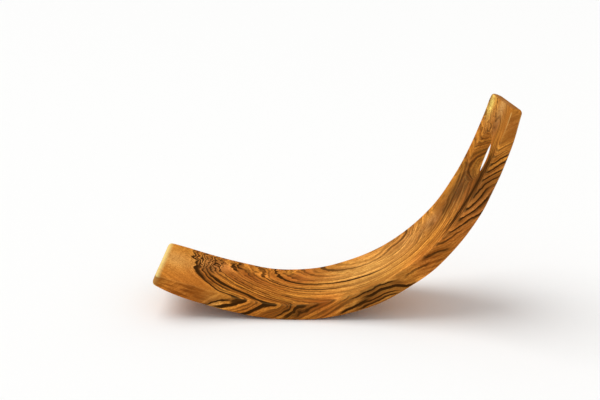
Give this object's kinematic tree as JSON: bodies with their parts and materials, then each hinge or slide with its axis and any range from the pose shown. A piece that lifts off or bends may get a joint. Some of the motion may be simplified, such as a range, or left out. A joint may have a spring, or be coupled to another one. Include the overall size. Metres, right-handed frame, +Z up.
{
  "type": "balancing wine bottle holder",
  "caption": "Curved olive-wood board, thick in the bend, with a round hole in its tall arm that holds a wine bottle level by balance on a small flat foot.",
  "frame": {"origin": "centre of the flat foot, on the surface that the holder stands on", "axes": "+Z up, +X along the board towards the tall arm with the neck hole, Y across the board"},
  "size_m": [0.2438, 0.068, 0.1498],
  "materials": {
    "olive_wood": "hand-sanded and oiled to a satin sheen, golden brown with dark flowing grain"
  },
  "bodies": {
    "root": {"carved_board": "olive_wood"}
  },
  "joints": []
}
